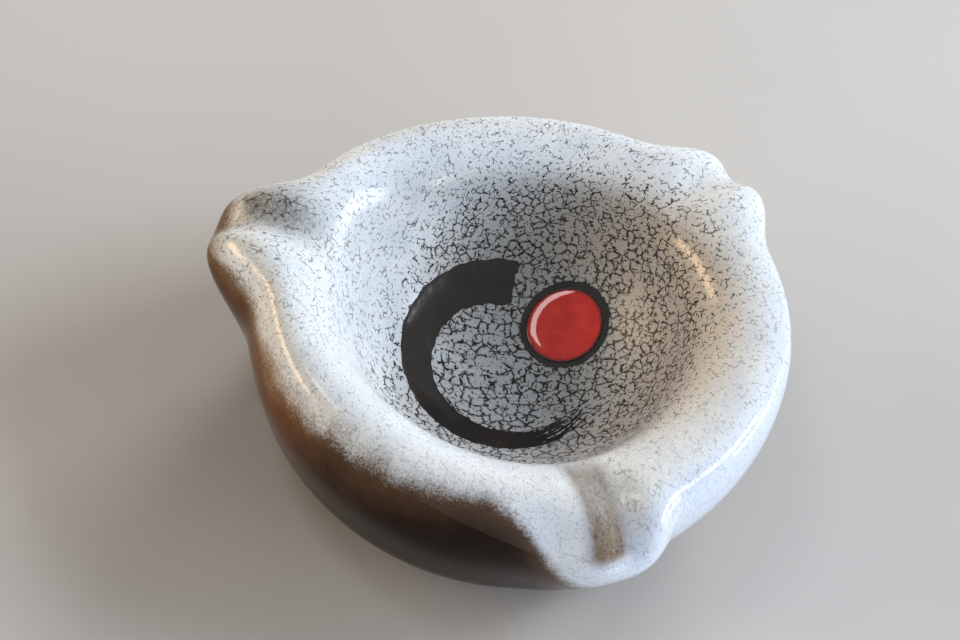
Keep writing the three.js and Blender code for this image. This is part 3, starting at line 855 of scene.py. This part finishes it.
def crack_mask(tree, plan, look, net, ink):
    """How much crack there is at a place of the plan, and how near one is: a coarse net and a
    finer one, both broken by noise, fullest on the well's floor and scattered dashes on the rim."""
    wavy = plan
    for size, amount in BENDS:
        wavy = bent(tree, wavy, size, amount)
    cell = look.cell_size / MM
    coarse = cell_edges(tree, wavy, cell)
    fine = cell_edges(tree, wavy, cell * FINE_CELLS, FINE_SHIFT)
    half = times(tree, texture(tree, plan, "swell"), look.line_width / MM / 2)
    half = times(tree, half, level(tree, net, "net_lines"))
    breaks = noise(tree, plan, *NOISES["net_breaks"])
    fine_breaks = noise(tree, plan, *NOISES["dash_breaks"])
    limit = level(tree, net, "net_limit")
    fine_limit = level(tree, net, "dash_limit")
    lines = broken_lines(tree, coarse, half, limit, breaks)
    dashes = broken_lines(tree, fine, times(tree, half, FINE_LINES), fine_limit, fine_breaks)
    specks = times(tree, texture(tree, plan, "specks"), net)
    near = broken_lines(tree, coarse, times(tree, half, STAIN_REACH), limit, breaks)
    return times(tree, largest(tree, lines, dashes, specks), ink), times(tree, near, ink)


def glaze_colour(tree, place, look, fade, gold, net, ink, tan, grey, warm, cool):
    """The colour of the white glaze over the dark one, the mask of its cracks, and how white it
    is: white with cool patches, casts and dark cracks, turning through tan and brown to near
    black where it thins. Some casts are partly painted light and shade, and the fading has a lit
    copy and a painted shaded copy."""
    closing = level(tree, fade, "closing")
    net = largest(tree, net, closing, times(tree, grey, GREY_NET), times(tree, tan, TAN_NET))
    ink = largest(tree, ink, closing, times(tree, grey, GREY_INK), times(tree, tan, TAN_INK))
    cracks, near_crack = crack_mask(tree, flat_map(tree, "plan"), look, net, ink)
    white = look.white_colour[:]
    for share, colour in (
        (texture(tree, place, "patches"), look.cool_colour),
        (texture(tree, place, "grain"), look.speck_colour),
        # Partly a greyer glaze, partly painted shade on the well's floor.
        (level(tree, net, "floor"), look.floor_colour),
        # A grey band down the left groove, and painted shade at the front lip.
        (times(tree, texture(tree, place, "grey_cloud"), grey), look.soot_colour),
        # Painted warm light and highlight, partly a warmer glaze.
        (warm, look.warm_colour),
        # Painted shade on the rim's outer right side, partly a bluer glaze.
        (cool, look.outer_colour),
        # Partly a thin glaze showing tan, partly painted shade in the groove.
        (times(tree, texture(tree, place, "worn"), tan), look.streak_colour),
        (times(tree, near_crack, STAIN_STRENGTH), look.speck_colour),
    ):
        white = mix(tree, share, white, colour[:])
    dark = mix(tree, level(tree, ink, "ink"), look.pale_crack_colour[:], look.crack_colour[:])
    white = mix(tree, cracks, white, dark)
    for name, amount in FRAYING:
        push = math_node(tree, "SUBTRACT", noise(tree, place, *NOISES[name]), 0.5)
        fade = math_node(tree, "MULTIPLY_ADD", push, amount, fade)
    # Painted light and shade: a lit golden copy of the fading and a shaded dull one, mixed by
    # bearing.
    golden = ramp(
        tree, level(tree, fade, "golden"), look.black_colour, look.tan_colour,
        (BROWN_STOP, look.brown_colour))
    dull = ramp(tree, level(tree, fade, "dull"), look.black_colour, look.dull_colour)
    whiteness = level(tree, fade, "whiteness")
    return mix(tree, whiteness, mix(tree, gold, dull, golden), white), cracks, whiteness


def glaze_material(name, look, specular):
    """The glossy glaze of one coat, duller where it is worn and on the well's floor. Both coats
    take their colour from the same fading."""
    material, tree, shader = new_material(name)
    place = millimetres(tree)
    values = {key: attribute(tree, key) for key in GLAZE_KEYS}
    colour, cracks, whiteness = glaze_colour(tree, place, look, *values.values())
    put(tree, shader.inputs["Base Color"], colour)
    sheen = times(tree, texture(tree, place, "sheen"), look.roughness)
    worn = times(tree, largest(tree, values["tan_cast"], values["grey_cast"]), look.worn_roughness)
    matt = times(tree, level(tree, values["net"], "matt"), look.floor_roughness)
    put(tree, shader.inputs["Roughness"], largest(tree, sheen, worn, matt))
    peel = bump(tree, noise(tree, place, *NOISES["peel"]), PEEL_HEIGHT)
    sunk = times(tree, times(tree, cracks, whiteness), -1.0)
    put(tree, shader.inputs["Normal"], bump(tree, sunk, CRACK_DEPTH, 1.0, peel))
    shader.inputs["Specular IOR Level"].default_value = specular
    return material


def stroke_material(name, look, mask_of):
    """Smooth dark glaze laid with a brush. Where mask_of says 0, the white glaze shows."""
    material, tree, shader = new_material(name)
    place = millimetres(tree)
    white = glaze_colour(tree, place, look, *UNDER_MARKS)[0]
    mask = mask_of(tree, place)
    dark = mix(tree, texture(tree, place, "tone"), look.stroke_colour[:], look.stroke_brown[:])
    dark = mix(tree, level(tree, mask, "thin"), dark, look.crack_colour[:])
    put(tree, shader.inputs["Base Color"], mix(tree, level(tree, mask, "stroke"), white, dark))
    shader.inputs["Roughness"].default_value = STROKE_ROUGHNESS
    peel = noise(tree, place, *NOISES["peel"])
    put(tree, shader.inputs["Normal"], bump(tree, peel, STROKE_PEEL_HEIGHT))
    return material


def ring_mask(tree, place):
    """Dry brush: streaks along the stroke open towards its end and its inner side."""
    along = vector_node(tree, "MULTIPLY", flat_map(tree, "stroke"), STREAK_STRETCH)
    streaks = noise(tree, along, *NOISES["dry_brush"])
    ragged = noise(tree, place, *NOISES["ragged"])
    glaze = math_node(tree, "MULTIPLY_ADD", ragged, RAGGED_SHARE, streaks)
    glaze = math_node(tree, "ADD", glaze, RING_LOAD)
    return level(tree, math_node(tree, "SUBTRACT", glaze, attribute(tree, "dryness")), "ring")


def halo_mask(tree, place):
    """The dark outline, whole beside the drop and frayed at its outer edge."""
    glaze = math_node(tree, "ADD", noise(tree, place, *NOISES["halo_fray"]), HALO_LOAD)
    return level(tree, math_node(tree, "SUBTRACT", glaze, attribute(tree, "rim_share")), "halo")


def drop_material(name, look):
    """Thick clear red glaze, darker at its thin rim, clouded in its middle and finely pitted."""
    material, tree, shader = new_material(name)
    place = millimetres(tree)
    cloud = texture(tree, place, "red_cloud")
    red = mix(tree, cloud, look.red_colour[:], look.deep_red_colour[:])
    frayed = noise(tree, place, *NOISES["red_fray"])
    edge = math_node(tree, "MULTIPLY_ADD", frayed, RED_FRAYING, attribute(tree, "rim_share"))
    red = mix(tree, level(tree, edge, "red_edge"), red, look.stroke_colour[:])
    put(tree, shader.inputs["Base Color"], red)
    for key, value in DROP_SHADER.items():
        shader.inputs[key].default_value = value
    sunk = times(tree, texture(tree, place, "pits"), -1.0)
    put(tree, shader.inputs["Normal"], bump(tree, sunk, PIT_DEPTH))
    return material


def clay_material(name, look):
    """Bare fired clay: warm and gritty, clouded where it is toasted, with darker grains."""
    material, tree, shader = new_material(name)
    place = millimetres(tree)
    cloud = texture(tree, place, "clay_cloud")
    warm = mix(tree, cloud, look.clay_colour[:], look.dark_clay_colour[:])
    grit = texture(tree, place, "grit")
    put(tree, shader.inputs["Base Color"], mix(tree, grit, warm, look.brown_colour[:]))
    shader.inputs["Roughness"].default_value = CLAY_ROUGHNESS
    grain = noise(tree, place, *NOISES["clay_grain"])
    put(tree, shader.inputs["Normal"], bump(tree, grain, CLAY_GRAIN_HEIGHT, CLAY_GRAIN_STRENGTH))
    return material


# Settings

def length_setting(name, description, default):
    """A size in metres."""
    return bpy.props.FloatProperty(
        name=name, description=description, default=default, min=0.0, unit="LENGTH", precision=5)


def colour_setting(name, description, default):
    """A colour with its alpha."""
    return bpy.props.FloatVectorProperty(
        name=name, description=description, default=(*default, 1.0), size=4, min=0.0, max=1.0,
        subtype="COLOR")


def share_setting(name, description, default):
    """A value from 0 to 1."""
    return bpy.props.FloatProperty(
        name=name, description=description, default=default, min=0.0, max=1.0, subtype="FACTOR")


def power_setting(name, default):
    """The power of a lamp."""
    return bpy.props.FloatProperty(
        name=name, description="Power of a lamp", default=default, min=0.0, unit="POWER")


def title(key):
    """A setting's label, from its key."""
    return key.replace("_", " ").capitalize()


class DishSizes(bpy.types.PropertyGroup):
    """Sizes of the painted marks."""

    ring_radius: length_setting("Ring radius", "Radius of the brushed ring's middle line", 0.0225)
    ring_width: length_setting("Ring width", "Width of the brushed ring where it starts", 0.010)
    ring_tip_width: length_setting("Ring tip width", "Width of the brushed ring at its tip", 0.0045)
    ring_rise: length_setting("Ring rise", "Height of the brushed glaze above the white", 0.0001)
    drop_radius: length_setting("Drop radius", "Radius of the red drop", 0.0095)
    drop_height: length_setting("Drop height", "Height of the red drop's dome", 0.0015)
    outline_width: length_setting("Outline width", "Width of the dark outline", 0.0017)


class DishLook(bpy.types.PropertyGroup):
    """Sizes and colours of the glazes."""

    cell_size: length_setting("Cell size", "Width of a cell of the crackle", 0.0025)
    line_width: length_setting("Line width", "Width of a crack", 0.00042)
    roughness: share_setting("Roughness", "Roughness of the glaze", 0.16)
    worn_roughness: share_setting("Worn roughness", "The same where it is worn thin", 0.8)
    floor_roughness: share_setting("Floor roughness", "The same on the well's floor", 0.42)
    __annotations__.update(
        {key: colour_setting(title(key), *item) for key, item in LOOK_COLOURS.items()})


class DishStage(bpy.types.PropertyGroup):
    """The floor, the sky and the lamps' powers."""

    floor_size: length_setting("Floor size", "Width of the floor", 4.0)
    floor_colour: colour_setting("Floor", "Floor and backdrop", (0.52, 0.52, 0.52))
    sky_strength: bpy.props.FloatProperty(
        name="Sky", description="Strength of the even light", default=0.10, min=0.0)
    __annotations__.update(
        {key + "_power": power_setting(title(key), lamp[4]) for key, lamp in LAMPS.items()})


# Operators

def finish_piece(obj, material, slot_name, *nodes):
    """Gives a piece its material and slot, and lets it stand for its solids."""
    obj.data.materials.append(material)
    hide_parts(*nodes)
    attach(obj, "root")


class DISH_OT_clay(bpy.types.Operator):
    """Builds the clay body, with a turned bare foot."""

    bl_idname = "dish.clay"
    bl_label = "Clay body"

    def execute(self, context):
        turns = np.linspace(0, 2 * np.pi, CLAY_STEPS, endpoint=False)
        flat = FOOT_RADIUS - FOOT_CHAMFER
        radii = np.linspace(FOOT_MIDDLE, flat, CLAY_ROWS)
        marks = TURNING_DEPTH * (0.5 + 0.5 * np.sin(radii * TURNING_RATE))
        marks = marks * smooth(0, TURNING_MARGIN, flat - radii)
        side = np.array([
            (FOOT_RADIUS - FOOT_BEVEL, FOOT_BEVEL), (FOOT_RADIUS, FOOT_CHAMFER),
            (FOOT_RADIUS, FOOT_WAIST), (FOOT_RADIUS, FOOT_TOP)])
        radius = np.concatenate([radii, side[:, 0]])[:, None]
        height = np.concatenate([marks, side[:, 1]])[:, None]
        x, y, z = np.broadcast_arrays(radius * np.cos(turns), radius * np.sin(turns), height)
        along, turn = np.broadcast_arrays(np.linspace(0, LAST_ALONG, CLAY_ROWS)[:, None], turns)
        point, normal = surface_places(turn, along)
        depth = dark_under(turn, along) + COAT_GAP
        rings = np.concatenate([np.stack([x, y, z], -1), point - normal * depth[..., None]])
        obj = closed_rings("clay_with_turned_foot", rings)
        look = context.scene.dish_look
        finish_piece(obj, clay_material("bare_clay", look), "bare_clay", "clay_body")
        return {"FINISHED"}


class DISH_OT_coats(bpy.types.Operator):
    """Builds the dark coat and the white coat over it."""

    bl_idname = "dish.coats"
    bl_label = "Glaze coats"

    def execute(self, context):
        def white_top(turn, along):
            return np.zeros_like(along)

        look = context.scene.dish_look
        dark_glaze = glaze_material("dark_glaze", look, DARK_SPECULAR)
        crackle_glaze = glaze_material("crackle_glaze", look, WHITE_SPECULAR)
        dark = coat_object("dark_glaze_coat", np.zeros_like, dark_top, dark_under, *DARK_MESH)
        finish_piece(dark, dark_glaze, "dark_glaze", "base_glaze")
        white = coat_object("white_glaze_coat", white_edge, white_top, white_depth, *WHITE_MESH)
        finish_piece(white, crackle_glaze, "white_crackle_glaze", "white_glaze")
        return {"FINISHED"}


class DISH_OT_ring(bpy.types.Operator):
    """Brushes the open ring onto the well."""

    bl_idname = "dish.ring"
    bl_label = "Brushed ring"

    def execute(self, context):
        sizes = context.scene.dish_sizes
        share, side = np.meshgrid(np.linspace(0, 1, RING_ROWS), np.linspace(1, -1, RING_COLUMNS))
        taper = sizes.ring_width + (sizes.ring_tip_width - sizes.ring_width) * share**2
        half = taper / MM / 2 * (RING_FILL + waves(share, RING_WOBBLE) * np.abs(side))
        ends = waves(side, RING_FRINGE) * (2 * share - 1)
        bearing = np.radians(RING_START + RING_SWEEP * share + ends)
        radius = sizes.ring_radius / MM + side * half
        x = RING_X + radius * np.cos(bearing)
        y = RING_Y + radius * np.sin(bearing)
        round_off = np.sqrt(np.clip(1 - side**4, 0, 1))
        round_off = round_off * within((0, RING_ROUNDING, 1 - RING_ROUNDING, 1), share)
        top, plan = lay_on_well(x, y, MARK_LIFT + sizes.ring_rise / MM * round_off)
        under, _ = lay_on_well(x, y, np.full_like(x, MARK_CLEARANCE))
        length = np.radians(RING_SWEEP) * sizes.ring_radius / MM
        uv = np.stack([share * length, side * sizes.ring_width / MM / 2], -1)
        dryness = (
            DRY_BASE + DRY_TIP * smooth(*DRY_TIP_RUN, share)
            + DRY_SIDE * smooth(*DRY_SIDE_RUN, -side) + DRY_START * smooth(*DRY_START_RUN, share))
        values = {"dryness": dryness[::-1]}
        maps = {"plan": plan[::-1], "stroke": uv[::-1]}
        obj = closed_strip("brushed_ring_stroke", top[::-1], under[::-1], values, maps)
        glaze = stroke_material("ring_glaze", context.scene.dish_look, ring_mask)
        finish_piece(obj, glaze, "black_brush_glaze", "brushed_ring")
        return {"FINISHED"}


class DISH_OT_drop(bpy.types.Operator):
    """Builds the red drop and its dark outline."""

    bl_idname = "dish.drop"
    bl_label = "Red drop"

    def patch(self, radii, heights, under):
        """Rings of radii about the drop's middle, raised by heights, and the rings under them."""
        turns = np.linspace(0, 2 * np.pi, DROP_STEPS, endpoint=False)
        x = DROP_X + radii[:, None] * np.cos(turns)
        y = DROP_Y + radii[:, None] * np.sin(turns)
        top, plan = lay_on_well(x, y, np.broadcast_to(heights[:, None], x.shape))
        low, _ = lay_on_well(x, y, np.full_like(x, under))
        return top, low, plan

    def execute(self, context):
        sizes = context.scene.dish_sizes
        look = context.scene.dish_look
        radius = sizes.drop_radius / MM
        share = 1 - np.linspace(0, 1, DROP_ROWS)[:-1] ** DROP_CROWDING
        dome = sizes.drop_height / MM * np.sqrt(1 - share**DOME_POWER) + SKIN_INSET
        top, low, _ = self.patch(radius * share, dome, DROP_CLEARANCE)
        rings = np.concatenate([low[::-1], top])
        rim = np.broadcast_to(np.concatenate([share[::-1], share])[:, None], rings.shape[:2])
        drop = closed_rings("red_drop_bead", rings, {"rim_share": rim})
        finish_piece(drop, drop_material("red_glaze", look), "red_glaze", "red_drop")

        across = np.linspace(0, 1, OUTLINE_ROWS)
        radii = radius + OUTLINE_START + sizes.outline_width / MM * across
        swell = OUTLINE_LIFT + OUTLINE_RISE * np.sqrt(1 - across**2)
        top, low, plan = self.patch(radii, swell, MARK_CLEARANCE)
        rings = np.concatenate([low, top[::-1]])
        count, steps, _ = rings.shape
        ring, step = np.meshgrid(np.arange(count), np.arange(steps), indexing="ij")
        here, beyond = ring * steps, (ring + 1) % count * steps
        after = (step + 1) % steps
        faces = np.stack([here + step, beyond + step, beyond + after, here + after], -1)
        rim = np.repeat(np.concatenate([across, across[::-1]]), steps)
        plan = np.concatenate([plan, plan[::-1]]).reshape(-1, 2)
        outline = add_mesh(
            "drop_outline_halo", rings.reshape(-1, 3), faces.reshape(-1, 4).tolist(),
            {"rim_share": rim}, {"plan": plan})
        glaze = stroke_material("outline_glaze", look, halo_mask)
        finish_piece(outline, glaze, "black_brush_glaze", "drop_outline")
        return {"FINISHED"}


class DISH_OT_stage(bpy.types.Operator):
    """Sets up the floor, the lights, the sky and the camera."""

    bl_idname = "dish.stage"
    bl_label = "Stage"

    def floor(self, stage):
        """A plain pale floor."""
        half = stage.floor_size / MM / 2
        points = np.array([(-half, -half, 0), (half, -half, 0), (half, half, 0), (-half, half, 0)])
        obj = add_mesh("floor", points, [(0, 1, 2, 3)])
        material, tree, shader = new_material("floor_paint")
        shade = texture(tree, millimetres(tree), "floor_shade")
        colour = vector_node(tree, "SCALE", stage.floor_colour[:3], scale=shade)
        put(tree, shader.inputs["Base Color"], colour)
        shader.inputs["Roughness"].default_value = FLOOR_ROUGHNESS
        obj.data.materials.append(material)

    def sky(self, scene, stage):
        """Even light, and the backdrop's colour where the camera or a reflection looks past the
        floor."""
        world = bpy.data.worlds.new("sky")
        world.use_nodes = True
        tree = world.node_tree
        tree.nodes.clear()
        choose = tree.nodes.new("ShaderNodeMixShader")
        pairs = ((SKY_COLOUR, stage.sky_strength), (stage.floor_colour[:], 1.0))
        for socket, (colour, strength) in zip(choose.inputs[1:], pairs):
            light = tree.nodes.new("ShaderNodeBackground")
            light.inputs["Color"].default_value = colour
            light.inputs["Strength"].default_value = strength
            tree.links.new(light.outputs[0], socket)
        seen = tree.nodes.new("ShaderNodeLightPath").outputs
        rays = ("Is Camera Ray", "Is Glossy Ray", "Is Transmission Ray")
        put(tree, choose.inputs[0], largest(tree, *(seen[ray] for ray in rays)))
        output = tree.nodes.new("ShaderNodeOutputWorld")
        tree.links.new(choose.outputs[0], output.inputs["Surface"])
        scene.world = world

    def lamp(self, scene, name, power):
        """A rectangular light of the table, facing the dish. It shows as a highlight where it is
        mirrored, and brightens surfaces where it lights."""
        bearing, height, wide, high, _, colour, mirrored, lights = LAMPS[name]
        data = bpy.data.lights.new(name, "AREA")
        data.shape = "RECTANGLE"
        data.size, data.size_y = wide, high
        data.energy = power
        data.color = colour
        obj = bpy.data.objects.new(name, data)
        b, h = math.radians(bearing), math.radians(height)
        away = Vector((math.cos(b) * math.cos(h), math.sin(b) * math.cos(h), math.sin(h)))
        obj.location = away * LAMP_DISTANCE + Vector((0, 0, TARGET_HEIGHT * MM))
        obj.rotation_euler = away.to_track_quat("Z", "Y").to_euler()
        obj.visible_glossy = mirrored
        obj.visible_diffuse = lights
        scene.collection.objects.link(obj)

    def camera(self, scene):
        """The photo's camera: behind its target along the leaned axis, rolled about it, and moved
        sideways so that the target falls on its pixel."""
        lean, roll = CAMERA_LEAN, CAMERA_ROLL
        back = Vector((0, -math.sin(lean), math.cos(lean)))
        level = Vector((1, 0, 0))
        steep = back.cross(level)
        right = math.cos(roll) * level + math.sin(roll) * steep
        up = math.cos(roll) * steep - math.sin(roll) * level
        step = CAMERA_DISTANCE / CAMERA_FOCAL
        aside = (TARGET_PIXEL[0] - IMAGE_SIZE[0] / 2) * step
        above = (IMAGE_SIZE[1] / 2 - TARGET_PIXEL[1]) * step
        place = Vector((0, 0, TARGET_HEIGHT)) + CAMERA_DISTANCE * back - aside * right - above * up
        data = bpy.data.cameras.new("camera")
        data.sensor_width = SENSOR
        data.lens = CAMERA_FOCAL / IMAGE_SIZE[0] * SENSOR
        data.clip_start = CLIP_START
        obj = bpy.data.objects.new("camera", data)
        turn = Matrix((right, up, back)).transposed().to_4x4()
        obj.matrix_world = Matrix.Translation(place * MM) @ turn
        scene.collection.objects.link(obj)
        scene.camera = obj

    def execute(self, context):
        scene = context.scene
        stage = scene.dish_stage
        self.floor(stage)
        self.sky(scene, stage)
        for name in LAMPS:
            self.lamp(scene, name, getattr(stage, name + "_power"))
        self.camera(scene)
        scene.view_settings.view_transform = "Standard"
        return {"FINISHED"}


class DISH_PT_panel(bpy.types.Panel):
    """Lists the pieces and their settings."""

    bl_idname = "DISH_PT_panel"
    bl_label = "Catchall dish"
    bl_space_type = "VIEW_3D"
    bl_region_type = "UI"
    bl_category = "Dish"

    def draw(self, context):
        for operator in OPERATORS:
            self.layout.operator(operator.bl_idname)
        for group in (context.scene.dish_sizes, context.scene.dish_look, context.scene.dish_stage):
            box = self.layout.box()
            for key in group.bl_rna.properties.keys():
                if key not in {"rna_type", "name"}:
                    box.prop(group, key)


GROUPS = {"dish_sizes": DishSizes, "dish_look": DishLook, "dish_stage": DishStage}
OPERATORS = (DISH_OT_clay, DISH_OT_coats, DISH_OT_ring, DISH_OT_drop, DISH_OT_stage)


def register():
    """Registers the settings, the operators and the panel."""
    for cls in (*GROUPS.values(), *OPERATORS, DISH_PT_panel):
        bpy.utils.register_class(cls)
    for key, cls in GROUPS.items():
        setattr(bpy.types.Scene, key, bpy.props.PointerProperty(type=cls))


def unregister():
    """Takes away what register added."""
    for key in GROUPS:
        delattr(bpy.types.Scene, key)
    for cls in reversed((*GROUPS.values(), *OPERATORS, DISH_PT_panel)):
        bpy.utils.unregister_class(cls)


def main():
    """Builds everything in order."""
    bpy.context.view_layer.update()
    register()
    bpy.ops.dish.clay()
    bpy.ops.dish.coats()
    bpy.ops.dish.ring()
    bpy.ops.dish.drop()
    bpy.ops.dish.stage()


if __name__ == "__main__":
    main()
